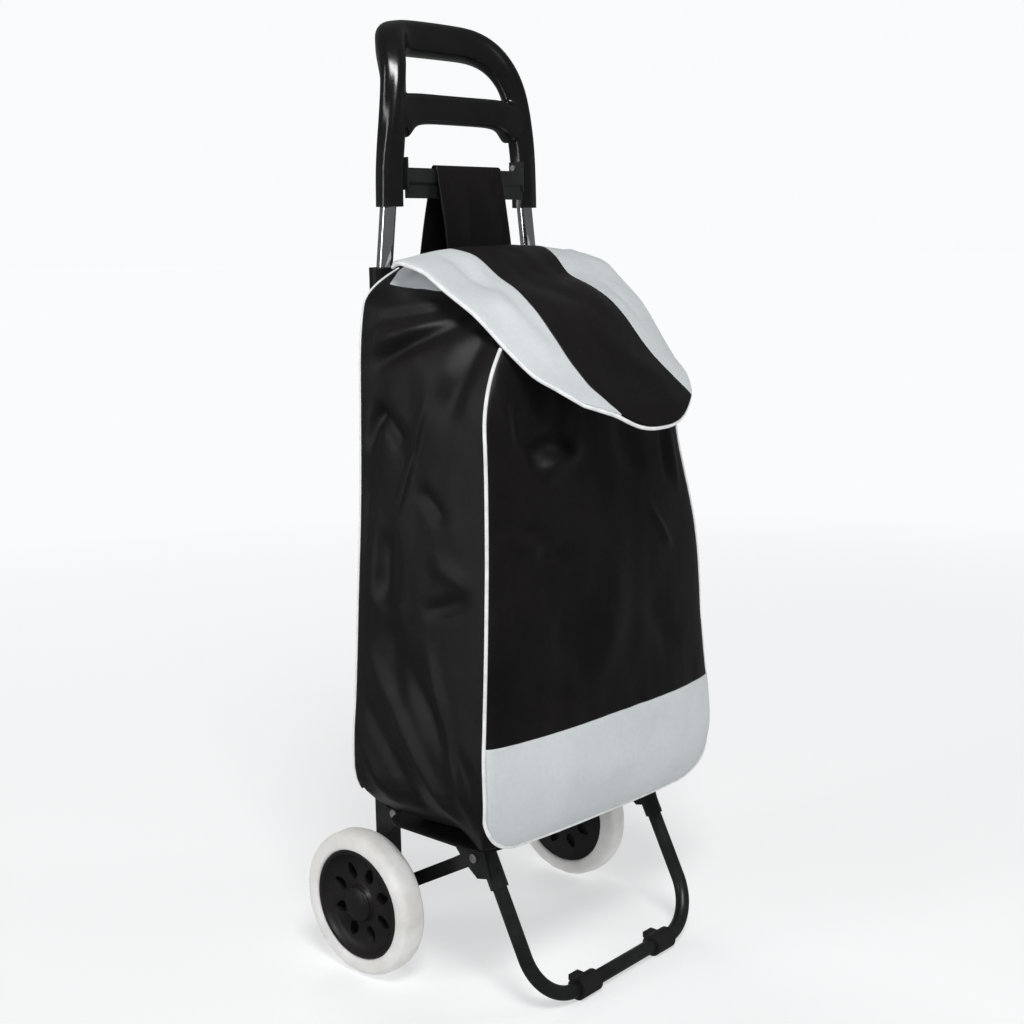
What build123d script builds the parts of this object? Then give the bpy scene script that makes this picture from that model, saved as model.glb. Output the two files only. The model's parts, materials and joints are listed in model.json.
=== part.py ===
from build123d import *
import os
from math import atan2, cos, degrees, radians, sin, tan

os.makedirs("parts", exist_ok=True)

# Two-wheeled folding shopping trolley. Millimetres, +Z up, the front faces -Y.
# The origin is on the floor, at the middle of the object's footprint.

# driving dimensions
overall_height = 950.0
overall_depth = 326.0
wheel_diameter = 150.0
wheel_width = 30.0
wheel_face = 177.5  # centre plane to the outer face of a wheel
tube_diameter = 16.0
tube_wall = 1.2
tube_inset = 59.0  # widest part of the bag's side to the middle of a tube
grip_x = 96.0  # centre plane to the middle of a grip leg
grip_bottom = 772.0
bag_width = 372.0
bag_depth = 184.0
bag_bottom = 162.0
bag_top = 712.0
platform_length = 81.0  # rear pivot to front pivot
leg_diameter = 14.5
axle_diameter = 8.0

# fits and thicknesses
running_gap = 0.05  # radial, pins and axle
soft_gap = 0.4  # between fabric and what it moves past
fabric = 1.5
piping_diameter = 3.0
plate = 2.0
pin_diameter = 5.0

# derived positions
lower_tube_x = bag_width / 2 - tube_inset  # centre plane to a tube's upright run
axle_y = overall_depth / 2 - wheel_diameter / 2
axle_z = wheel_diameter / 2


def fwd(distance):
    """Y of a point this far in front of the uprights."""
    return axle_y - distance


# pivots of the folding platform, as (distance forward, height)
pivot_rear = (19.0, axle_z + 90.0)
pivot_front = (pivot_rear[0] + platform_length, axle_z + 89.0)
pivot_stay = (pivot_front[0] + 28.0, axle_z + 71.0)
foot = (overall_depth - wheel_diameter / 2 - 46.0, 11.0)
leg_top = (pivot_front[0] + 43.0, axle_z + 57.0)


def box(x0, x1, y0, y1, z0, z1):
    """Closed box between two corners."""
    centre = Location(((x0 + x1) / 2, (y0 + y1) / 2, (z0 + z1) / 2))
    return centre * Box(abs(x1 - x0), abs(y1 - y0), abs(z1 - z0))


def rod_x(x0, x1, y, z, radius):
    """Round bar along X."""
    turned = Location(((x0 + x1) / 2, y, z)) * Rotation(0, 90, 0)
    return turned * Cylinder(radius, abs(x1 - x0))


def side_plate(points, x0, x1):
    """Plate cut to a side outline of (distance forward, height), from x0 to x1."""
    outline = [(fwd(d), z) for d, z in points]
    face = make_face(Plane.YZ * Polyline(*outline, close=True))
    return Location((x0, 0, 0)) * extrude(face, amount=x1 - x0, dir=(1, 0, 0))


def save(name, shape):
    """One STEP file for one node."""
    if isinstance(shape, list):
        shape = Compound(children=shape)
    export_step(shape, f"parts/{name}.step")


sides = {"left": -1, "right": 1}

# ---------------------------------------------------------------- uprights
# each tube leans in towards the grip, bends gently and runs down upright
bend_z = 556.0
bend_radius = 400.0
socket_depth = 34.0
tube_top = grip_bottom + socket_depth
lean = atan2(lower_tube_x - grip_x + 0.82, tube_top - bend_z)
tube_bottom = axle_z + 35.0
tube_r = tube_diameter / 2


def tube_path(side, top, bottom):
    """Centre line of an upright from bottom to top."""
    upper_x = lower_tube_x - (top - bend_z) * tan(lean)
    return FilletPolyline(
        (side * lower_tube_x, axle_y, bottom),
        (side * lower_tube_x, axle_y, bend_z),
        (side * upper_x, axle_y, top),
        radius=bend_radius,
    )


def along(path, radius):
    """Round bar that follows a path."""
    return sweep(Plane(origin=path @ 0, z_dir=path % 0) * Circle(radius), path=path)


for side_name, side in sides.items():
    path = tube_path(side, tube_top, tube_bottom)
    tube = along(path, tube_r) - along(path, tube_r - tube_wall)
    save(f"upright_tube_{side_name}", tube)

# ---------------------------------------------------------------- rear brackets
# a box leg on each side: the tube sits in its top, the axle goes through its foot
bracket_half = tube_r + 1.6
bracket_top = axle_z + 103.0
bracket_foot = axle_z - 13.0
ear_out = pivot_rear[0] + 7.0
rail_half = 6.0
pin_r = pin_diameter / 2
for side_name, side in sides.items():
    x = side * lower_tube_x
    body = box(
        x - bracket_half, x + bracket_half,
        axle_y - bracket_half, axle_y + bracket_half,
        bracket_foot, bracket_top,
    )
    body = fillet(body.edges().filter_by(Axis.Z), 2.5)
    seat = Location((x, axle_y, (tube_bottom + bracket_top) / 2 + 5))
    body -= seat * Cylinder(tube_r + running_gap, bracket_top - tube_bottom + 10)
    # two cheeks hold the rear end of the platform rail
    for out in (-1, 1):
        inner = x + out * (rail_half + 0.6)
        outer = x + out * bracket_half
        ear = side_plate(
            [(bracket_half - 1, pivot_rear[1] + 4.6), (ear_out - 2, pivot_rear[1] + 4.6),
             (ear_out, pivot_rear[1] + 2.6), (ear_out, pivot_rear[1] - 6),
             (bracket_half - 1, pivot_rear[1] - 24)],
            min(inner, outer), max(inner, outer),
        )
        body += ear
    body -= rod_x(x - 20, x + 20, fwd(pivot_rear[0]), pivot_rear[1], pin_r + running_gap)
    body -= rod_x(x - 20, x + 20, axle_y, axle_z, axle_diameter / 2 + running_gap)
    save(f"rear_bracket_{side_name}", body)

# rivets through the cheeks, with a round head on each side
head_r = pin_r + 2.0
pins = []
tube_rivets = []
for side in sides.values():
    x = side * lower_tube_x
    y = fwd(pivot_rear[0])
    pin = rod_x(x - bracket_half - 1.6, x + bracket_half + 1.6, y, pivot_rear[1], pin_r)
    for out in (-1, 1):
        face = x + out * bracket_half
        pin += rod_x(face, face + out * 1.6, y, pivot_rear[1], head_r)
    pins.append(pin)
    # a small rivet near the top of the bracket holds the tube
    front = axle_y - bracket_half
    turned = Location((x, front - 0.6, bracket_top - 5)) * Rotation(90, 0, 0)
    tube_rivets.append(turned * Cylinder(2.4, 1.2))
save("platform_pivot_rivets", pins)
save("tube_rivets", tube_rivets)

# ---------------------------------------------------------------- axle
axle_r = axle_diameter / 2
hub_inner = wheel_face - wheel_width - 6.0  # inner end of the wheel's boss
axle_end = wheel_face - 8.0
save("axle", rod_x(-axle_end, axle_end, axle_y, axle_z, axle_r))
stay_x = lower_tube_x - bracket_half - 3.4
stay_flat = 3.0
washers = []
nuts = []
for side in sides.values():
    spans = [
        (lower_tube_x + bracket_half, hub_inner - 0.4),
        (stay_x + stay_flat / 2 + 0.3, lower_tube_x - bracket_half),
        (stay_x - stay_flat / 2 - 2.3, stay_x - stay_flat / 2 - 0.3),
    ]
    for near, far in spans:
        ring = rod_x(side * near, side * far, axle_y, axle_z, axle_r + 3.5)
        washers.append(ring - rod_x(side * near, side * far, axle_y, axle_z, axle_r))
    nut = rod_x(side * (axle_end - 5), side * (axle_end - 1.5), axle_y, axle_z, axle_r + 3)
    nuts.append(nut - rod_x(side * 100, side * 200, axle_y, axle_z, axle_r))
save("axle_washers", washers)
save("axle_nuts", nuts)

# ---------------------------------------------------------------- wheels
wheel_r = wheel_diameter / 2
rim_r = wheel_r * 0.75
boss_r = 15.0
hole_count = 8
tyre_middle = wheel_face - wheel_width / 2


def wheel_turned(side, points):
    """Ring turned about the axle from (x, radius) points."""
    outline = [(side * x, axle_y, axle_z + r) for x, r in points]
    face = make_face(Polyline(*outline, close=True))
    return revolve(face, Axis((0, axle_y, axle_z), (1, 0, 0)))


for side_name, side in sides.items():
    web = wheel_face - 15.0
    bore_r = axle_r + running_gap
    out_x = wheel_face - 2.0
    in_x = wheel_face - wheel_width + 2.0
    rim = wheel_turned(side, [
        (hub_inner, bore_r), (hub_inner, boss_r), (web - 2.5, boss_r),
        (web - 2.5, rim_r - 12), (in_x, rim_r - 6), (in_x, rim_r),
        (out_x, rim_r), (out_x, rim_r - 4), (web + 2.5, rim_r - 12),
        (web + 2.5, boss_r + 3), (out_x - 5, boss_r + 3), (out_x - 5, boss_r - 4),
        (axle_end - 7, boss_r - 4), (axle_end - 7, bore_r),
    ])
    # leaf-shaped holes between the boss and the rim
    near, far = boss_r + 6, rim_r - 13
    leaf = make_face(Plane.YZ * Spline(
        (0, near), (5.4, (near + far) / 2 - 1), (0, far),
        (-5.4, (near + far) / 2 - 1), periodic=True,
    ))
    cutter = extrude(leaf, amount=40, both=True, dir=(1, 0, 0))
    for n in range(hole_count):
        turn = Rotation((n + 0.5) * 360 / hole_count, 0, 0)
        rim -= Location((side * web, axle_y, axle_z)) * turn * cutter
    save(f"wheel_{side_name}_rim", rim)
    inner_x = wheel_face - wheel_width
    tyre = wheel_turned(side, [
        (inner_x + 2, rim_r), (inner_x, rim_r + 3), (inner_x, wheel_r - 7),
        (inner_x + 2.5, wheel_r - 2), (inner_x + 8, wheel_r),
        (wheel_face - 8, wheel_r), (wheel_face - 2.5, wheel_r - 2),
        (wheel_face, wheel_r - 7), (wheel_face, rim_r + 3), (wheel_face - 2, rim_r),
    ])
    save(f"wheel_{side_name}_tyre", tyre)
    # domed cap pressed on the boss, over the end of the axle
    cap = wheel_turned(side, [
        (out_x - 5, axle_r + 4), (out_x - 5, boss_r + 3), (out_x - 2, boss_r + 2.6),
        (out_x + 1, boss_r - 1), (out_x + 2, boss_r - 6), (out_x + 2.4, 0),
        (out_x + 0.6, 0), (out_x - 1, axle_r + 4),
    ])
    save(f"wheel_{side_name}_cap", cap)

# ---------------------------------------------------------------- folding platform
rail_tall = 10.0
rail_in = rail_half
rail_wall = 1.5
rear_y = fwd(pivot_rear[0])
front_y = fwd(pivot_front[0])
deck_z = pivot_rear[1] + rail_tall / 2
for side_name, side in sides.items():
    x = side * lower_tube_x
    rail = side_plate(
        [(pivot_rear[0] - 6, pivot_rear[1] - rail_tall / 2),
         (pivot_rear[0] - 6, pivot_rear[1] + rail_tall / 2),
         (pivot_front[0] + 6, pivot_front[1] + rail_tall / 2),
         (pivot_front[0] + 6, pivot_front[1] - rail_tall / 2)],
        x - rail_in, x + rail_in,
    )
    rail -= rod_x(x - 20, x + 20, rear_y, pivot_rear[1], pin_r + running_gap)
    rail -= rod_x(x - 20, x + 20, front_y, pivot_front[1], pin_r)
    save(f"platform_rail_{side_name}", rail)

# a cross tube joins the two rails under the bag
cross_r = 4.0
cross_half = lower_tube_x - rail_in
cross = rod_x(
    -cross_half, cross_half, fwd(pivot_rear[0] + 14), pivot_rear[1] - 0.5, cross_r,
)
save("platform_cross_tube", cross)

# front pivot rod, fixed in the rails, turning in the leg brackets
cheek_in = rail_in + 0.6
cheek_out = cheek_in + 1.8
rod_end = lower_tube_x + cheek_out + 1.9
rod = rod_x(-rod_end, rod_end, front_y, pivot_front[1], pin_r)
for side in sides.values():
    face = side * (lower_tube_x + cheek_out + 0.3)
    rod += rod_x(face, face + side * 1.6, front_y, pivot_front[1], head_r)
save("leg_pivot_rod", rod)

# ---------------------------------------------------------------- standing leg
leg_r = leg_diameter / 2
leg_bend = 50.0
leg_line = degrees(atan2(leg_top[1] - foot[1], foot[0] - leg_top[0]))
leg_x = lower_tube_x - 2.0
leg_dir = Vector(0, -(foot[0] - leg_top[0]), foot[1] - leg_top[1]).normalized()
up_in = 27.0  # length of leg inside its bracket
top_d = leg_top[0] - up_in * cos(radians(leg_line)) * 0.55
top_z = leg_top[1] + up_in * sin(radians(leg_line)) * 0.75
leg_path = FilletPolyline(
    (-leg_x, fwd(top_d), top_z),
    (-leg_x, fwd(foot[0]), foot[1]),
    (leg_x, fwd(foot[0]), foot[1]),
    (leg_x, fwd(top_d), top_z),
    radius=leg_bend,
)
leg = along(leg_path, leg_r) - along(leg_path, leg_r - tube_wall)
save("standing_leg", leg)

# a pressed bracket on top of each leg: two cheeks behind, a sleeve in front
sleeve_r = leg_r + 2.0
bracket_rivets = []
slope = Vector(0, fwd(foot[0]) - fwd(top_d), foot[1] - top_z).normalized()
for side_name, side in sides.items():
    x = side * lower_tube_x
    x_leg = side * leg_x
    start = Vector(x_leg, fwd(top_d), top_z)
    sleeve_plane = Plane(origin=start - slope * 2, z_dir=slope)
    sleeve = extrude(sleeve_plane * Circle(sleeve_r), amount=up_in + 10)
    hollow = extrude(sleeve_plane * Circle(leg_r), amount=up_in + 20)
    cheeks = []
    for out in (-1, 1):
        inner = x + out * cheek_in
        outer = x + out * cheek_out
        cheek = side_plate(
            [(pivot_front[0] - 4.8, pivot_front[1] - 3), (pivot_front[0] - 4.8, pivot_front[1] + 2.6),
             (pivot_front[0] + 10, pivot_front[1] + 2),
             (top_d + 2, pivot_front[1] - 1), (top_d + 13, top_z - 20),
             (pivot_stay[0] + 4, pivot_stay[1] - 20), (pivot_front[0] + 16, pivot_front[1] - 26)],
            min(inner, outer), max(inner, outer),
        )
        cheeks.append(cheek)
    body = (sleeve + cheeks[0] + cheeks[1]) - hollow
    body -= rod_x(x - 20, x + 20, front_y, pivot_front[1], pin_r + running_gap)
    save(f"leg_bracket_{side_name}", body)
    face = x + side * cheek_out
    bracket_rivets.append(
        rod_x(face, face + side * 1.6, fwd(pivot_stay[0]), pivot_stay[1], head_r)
    )
save("leg_bracket_rivets", bracket_rivets)

# rubber-like plastic clips that the leg stands on
clip_x = 61.0
clip_long = 28.0
clip_r = 11.0
for side_name, side in sides.items():
    x = side * clip_x
    clip = rod_x(x - clip_long / 2, x + clip_long / 2, fwd(foot[0]), foot[1], clip_r)
    clip += box(
        x - 7, x + 7, fwd(foot[0]), fwd(foot[0] - clip_r - 5), foot[1] + 2, foot[1] + 8,
    )
    clip -= rod_x(x - 40, x + 40, fwd(foot[0]), foot[1], leg_r)
    save(f"foot_clip_{side_name}", clip)

# ---------------------------------------------------------------- stays
# each stay runs from the axle to the leg bracket, with a flattened eye at each end
stay_r = 6.0
run_d, run_z = pivot_stay[0], pivot_stay[1] - axle_z
stay_long = (run_d ** 2 + run_z ** 2) ** 0.5
stay_tilt = degrees(atan2(run_z, run_d))
stay_pins = []
for side_name, side in sides.items():
    x = side * stay_x
    bar = box(-stay_flat / 2, stay_flat / 2, -stay_long, 0, -7, 7)
    for y in (0, -stay_long):
        bar += rod_x(-stay_flat / 2, stay_flat / 2, y, 0, 7)
    middle = box(-stay_flat / 2, stay_flat / 2 + 5, -stay_long + 26, -24, -stay_r, stay_r)
    middle = fillet(middle.edges().filter_by(Axis.Y), 2.4)
    bar += (mirror(middle, Plane.YZ) if side > 0 else middle)
    bar -= rod_x(-10, 10, 0, 0, axle_r + running_gap)
    placed = Location((x, axle_y, axle_z)) * Rotation(-stay_tilt, 0, 0) * bar
    save(f"stay_{side_name}", placed)
    # the front rivet is held by the stay and stops just short of the bracket
    in_face = lower_tube_x - cheek_out - 0.6
    near = side * (stay_x - stay_flat / 2)
    stay_pin = rod_x(near, near - side * 1.6, fwd(run_d), pivot_stay[1], head_r)
    far = side * (stay_x + stay_flat / 2)
    stay_pin += rod_x(far, side * in_face, fwd(run_d), pivot_stay[1], pin_r)
    stay_pins.append(stay_pin)
save("stay_rivets", stay_pins)

# ---------------------------------------------------------------- handle
grip_wide = 21.0
grip_deep = 23.0
grip_tall = 34.0  # the bar held in the hand
arch_top = overall_height - 1.0 - grip_wide / 2
arch_back = 38.0
arch_path = FilletPolyline(
    (-grip_x, axle_y, grip_bottom),
    (-grip_x - 0.5, axle_y, grip_bottom + 80),
    (-grip_x + 14, axle_y + 14, grip_bottom + 140),
    (-grip_x + 38, axle_y + arch_back, arch_top),
    (grip_x - 38, axle_y + arch_back, arch_top),
    (grip_x - 14, axle_y + 14, grip_bottom + 140),
    (grip_x + 0.5, axle_y, grip_bottom + 80),
    (grip_x, axle_y, grip_bottom),
    radius=30,
)
section = Plane(origin=arch_path @ 0, x_dir=(1, 0, 0), z_dir=arch_path % 0)
arch = sweep(section * RectangleRounded(grip_wide, grip_deep, 7), path=arch_path)
hand_half = grip_x - 38
hand = box(
    -hand_half, hand_half, axle_y + arch_back - 14, axle_y + arch_back + 14,
    overall_height - grip_tall, overall_height,
)
hand = fillet(hand.edges().filter_by(Axis.X), 11)
bar_low, bar_high = grip_bottom + 73, grip_bottom + 106
bar = box(-grip_x + 6, grip_x - 6, axle_y - 11, axle_y + 11, bar_low, bar_high)
bar = fillet(bar.edges().filter_by(Axis.X), 8)
gussets = []
for side in sides.values():
    near = side * (grip_x - 12)
    far = side * (grip_x - 30)
    wedge = box(near, far, axle_y - 8, axle_y + 8, bar_low - 14, bar_low + 9)
    hole = Location((far, axle_y, bar_low - 14)) * Rotation(90, 0, 0) * Cylinder(15, 40)
    gussets.append(wedge - hole)
handle = arch + hand + bar + gussets[0] + gussets[1]
for side in sides.values():
    socket = tube_path(side, tube_top + 0.5, tube_bottom)
    handle -= along(socket, tube_r + running_gap)
save("handle", handle)

# ---------------------------------------------------------------- hanger bar
grip_in = grip_x - grip_wide / 2
hanger_low, hanger_high = grip_bottom + 4, grip_bottom + 33
hanger_front = 13.0
hanger = side_plate(
    [(hanger_front, (hanger_low + hanger_high) / 2 + 1), (hanger_front, hanger_high),
     (hanger_front - plate, hanger_high), (hanger_front - plate, (hanger_low + hanger_high) / 2),
     (hanger_front - 2 * plate, (hanger_low + hanger_high) / 2 - 1),
     (hanger_front - 2 * plate, hanger_low), (hanger_front - plate, hanger_low),
     (hanger_front - plate, (hanger_low + hanger_high) / 2 - 2)],
    -grip_in, grip_in,
)
screws = []
for side in sides.values():
    near = side * grip_in
    far = side * (grip_in - plate)
    tab = box(near, far, fwd(hanger_front), fwd(-6), hanger_low + 8, hanger_high + 10)
    hanger += tab
    for z in (hanger_low + 14, hanger_high + 4):
        screws.append(rod_x(far, far - side * 1.6, fwd(0), z, 3))
save("hanger_bar", hanger)
save("hanger_screws", screws)

# ---------------------------------------------------------------- bag
# outline of the bag by height: (height, half width, distance to the front)
half = bag_width / 2
levels = [
    (bag_bottom, half - 19, bag_depth - 10),
    (bag_bottom + 24, half - 7, bag_depth - 1),
    (bag_bottom + 63, half - 1, bag_depth + 3),
    (bag_bottom + 128, half - 5, bag_depth),
    (bag_bottom + 238, half - 12, bag_depth - 3),
    (bag_bottom + 325, half - 21, bag_depth - 8),
    (bag_bottom + 413, half - 28, bag_depth - 13),
    (bag_bottom + 480, half - 34, bag_depth - 11),
    (bag_top, half - 56, bag_depth - 12),
]
bag_back = bracket_half + 1.2 + soft_gap
bag_corner = 26.0


def bag_body(inset):
    """Closed body of the bag, its wall moved in by the inset."""
    rings = []
    for z, w, d in levels:
        near, far = bag_back + inset, d - inset
        ring = RectangleRounded(2 * (w - inset), far - near, bag_corner - inset)
        rings.append(Plane.XY.offset(z) * Location((0, fwd((near + far) / 2))) * ring)
    return loft(rings, ruled=True)


# the mouth slopes down towards the front
hem_drop = 80.0


def hem(distance):
    """Height of the mouth's edge this far in front of the uprights."""
    return bag_top - (distance - bag_back) * hem_drop / (bag_depth - bag_back)


mouth = side_plate(
    [(-40, hem(-40)), (bag_depth + 40, hem(bag_depth + 40)),
     (bag_depth + 40, bag_top + 200), (-40, bag_top + 200)],
    -300, 300,
)
# the rear bottom corner is turned up, clear of the brackets
turned_up = side_plate(
    [(-60, bag_bottom - 60), (-60, pivot_rear[1] + 19), (16, pivot_rear[1] + 19),
     (36, pivot_rear[1] + 7), (60, pivot_rear[1] - 2), (60, bag_bottom - 60)],
    -300, 300,
)
shell = (bag_body(0) - bag_body(fabric)) - mouth - turned_up
front_cut = 7.6
front_zone = side_plate(
    [(bag_depth + 60, bag_bottom - 9)] +
    [(d - front_cut, z) for z, w, d in levels] +
    [(bag_depth + 60, bag_top)],
    -300, 300,
)
band_top = bag_bottom + 113
band_zone = box(-300, 300, fwd(400), fwd(0), bag_bottom - 50, band_top)
back_zone = box(-300, 300, fwd(bag_back + 4), fwd(-20), bag_bottom - 50, bag_top + 50)
front = shell & front_zone
save("bag_front_band", front & band_zone)
save("bag_front_panel", front - band_zone)
rest = shell - front_zone
back = rest & back_zone
# the back panel turns forward at the top, up to the root of the flap
flap_root = (30.0, bag_top + 6)
lip = side_plate(
    [(bag_back, bag_top - 3), (flap_root[0], flap_root[1] - 2.2),
     (flap_root[0], flap_root[1] - 0.7), (bag_back, bag_top)],
    -half + 61, half - 61,
)
save("bag_back_panel", back + lip)
walls = rest - back_zone
for side_name, side in sides.items():
    save(f"bag_side_{side_name}", walls & box(0, side * 300, -400, 400, 0, 900))

# stiffened bottom, carried by the platform
bottom_low = deck_z + soft_gap
part_up = (bottom_low - levels[0][0]) / (levels[1][0] - levels[0][0])
floor_w = levels[0][1] + (levels[1][1] - levels[0][1]) * part_up - fabric - 0.6
floor_d = levels[0][2] + (levels[1][2] - levels[0][2]) * part_up - fabric - 0.6
# the near edge stays clear of the back panel when the platform is folded up
bottom_near = pivot_rear[0] + 15.0
bottom = RectangleRounded(2 * floor_w, floor_d - bottom_near, bag_corner - fabric)
bottom = Location((0, fwd((floor_d + bottom_near) / 2), bottom_low)) * bottom
save("bag_bottom", extrude(bottom, amount=2.5, dir=(0, 0, 1)))

# light lining gathered round the mouth, just inside the hem
collar_zone = side_plate(
    [(-40, hem(-40) + 4), (bag_depth + 40, hem(bag_depth + 40) + 4),
     (bag_depth + 40, hem(bag_depth + 40) - 30), (-40, hem(-40) - 30)],
    -300, 300,
)
collar_inset = fabric + soft_gap
collar = (bag_body(collar_inset) - bag_body(collar_inset + fabric)) & collar_zone
collar -= box(-300, 300, fwd(flap_root[0] + 3), fwd(-60), 0, 900)
save("bag_collar", collar)

# white piping down the two front seams and round the bottom of the front
piping_r = piping_diameter / 2


seam_in = (bag_corner - piping_r * 0.4) * (1 - sin(radians(45))) - piping_r * 0.4


def bead(points, radius):
    """Cord of straight runs through the points, rounded at each one."""
    cord = Location(points[0]) * Sphere(radius)
    for start, end in zip(points, points[1:]):
        run = Vector(*end) - Vector(*start)
        seat = Plane(origin=start, z_dir=run)
        cord += extrude(seat * Circle(radius), amount=run.length)
        cord += Location(end) * Sphere(radius)
    return cord


runs = {}
for side in sides.values():
    corner = [(side * (w - seam_in), fwd(d - seam_in), z) for z, w, d in levels[1:-1]]
    z, w, d = levels[0]
    low = (side * (w - seam_in - 4), fwd(d - seam_in + 1), z + 5)
    runs[side] = [low] + corner
z, w, d = levels[0]
across = [(side * (w - bag_corner), fwd(d + 2.2), z + 4) for side in (-1, 1)]
whole = list(reversed(runs[-1])) + across + runs[1]
cords = bead(whole, piping_r) - bag_body(0)
save("bag_piping", cords)

# ---------------------------------------------------------------- tube casing and hanging strap
casing_low, casing_high = bag_top - 27, bag_top - 1
casing_y = tube_r + 0.8
casing_half = lower_tube_x - (casing_low - bend_z) * tan(lean) + casing_y + 5.56
outer = RectangleRounded(2 * casing_half, 2 * casing_y + 2 * fabric, casing_y)
inner = RectangleRounded(2 * casing_half - 2 * fabric, 2 * casing_y, casing_y - fabric)
casing = extrude(Location((0, axle_y, casing_low)) * (outer - inner), amount=26, dir=(0, 0, 1))
casing -= box(-300, 300, fwd(bag_back - 0.3), fwd(60), 0, 900)
save("tube_casing", casing)

strap_half = 47.0
strap_top = hanger_high + 0.3 + fabric
front_low = (27.5, bag_top + 5.0)
back_low = (-casing_y - fabric - 0.3, bag_top - 12)
near, far = hanger_front - plate - 0.4, hanger_front + 0.4
strap = side_plate(
    [(front_low[0], front_low[1]), (far + fabric, strap_top - 0.8), (far, strap_top),
     (near, strap_top), (near - fabric, strap_top - 0.8),
     (back_low[0] - fabric, casing_high + 3), (back_low[0] - fabric, back_low[1]),
     (back_low[0], back_low[1]), (back_low[0], casing_high + 3),
     (near, hanger_high + 0.3), (far, hanger_high + 0.3),
     (front_low[0] - fabric, front_low[1])],
    -strap_half, strap_half,
)
save("hanging_strap", strap)

# ---------------------------------------------------------------- flap
flap_thick = 3.0
reach = overall_depth - wheel_diameter / 2
# middle line of the flap seen from the side, root to tip
line = [
    (flap_root[0] + 1.5, flap_root[1]), (flap_root[0] + 12, bag_top + 12),
    (57, bag_top + 15), (80, bag_top + 5), (104, bag_top - 14), (155, bag_top - 41),
    (201, bag_top - 90), (reach - 9, bag_top - 132), (reach + 2, bag_top - 155),
]
under = [(d - 1.5, z - flap_thick) for d, z in reversed(line)]
blanket = side_plate(line + under, -200, 200)
# plan of the flap: (distance forward, half width)
plan = [
    (flap_root[0], 140), (58, 146), (87, 136), (130, 126), (170, 114), (210, 97),
    (235, 74), (reach - 4, 44), (reach, 24),
]
edge = [(w, fwd(d)) for d, w in plan] + [(-w, fwd(d)) for d, w in reversed(plan)]
plan_wire = Polyline(*edge, close=True)
plan_face = make_face(plan_wire)
small_face = offset(plan_face, -piping_diameter)
trimmed = blanket & extrude(Plane.XY * small_face, amount=900, dir=(0, 0, 1))
cord_ring = (blanket & extrude(Plane.XY * plan_face, amount=900, dir=(0, 0, 1))) - trimmed
strip_half = 62.0
strip = box(-strip_half, strip_half, -400, 400, 0, 900)
save("flap_centre", trimmed & strip)
for side_name, side in sides.items():
    outer_zone = box(side * strip_half, side * 300, -400, 400, 0, 900)
    save(f"flap_side_{side_name}", trimmed & outer_zone)
save("flap_piping", cord_ring)
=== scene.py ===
import math

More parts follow.
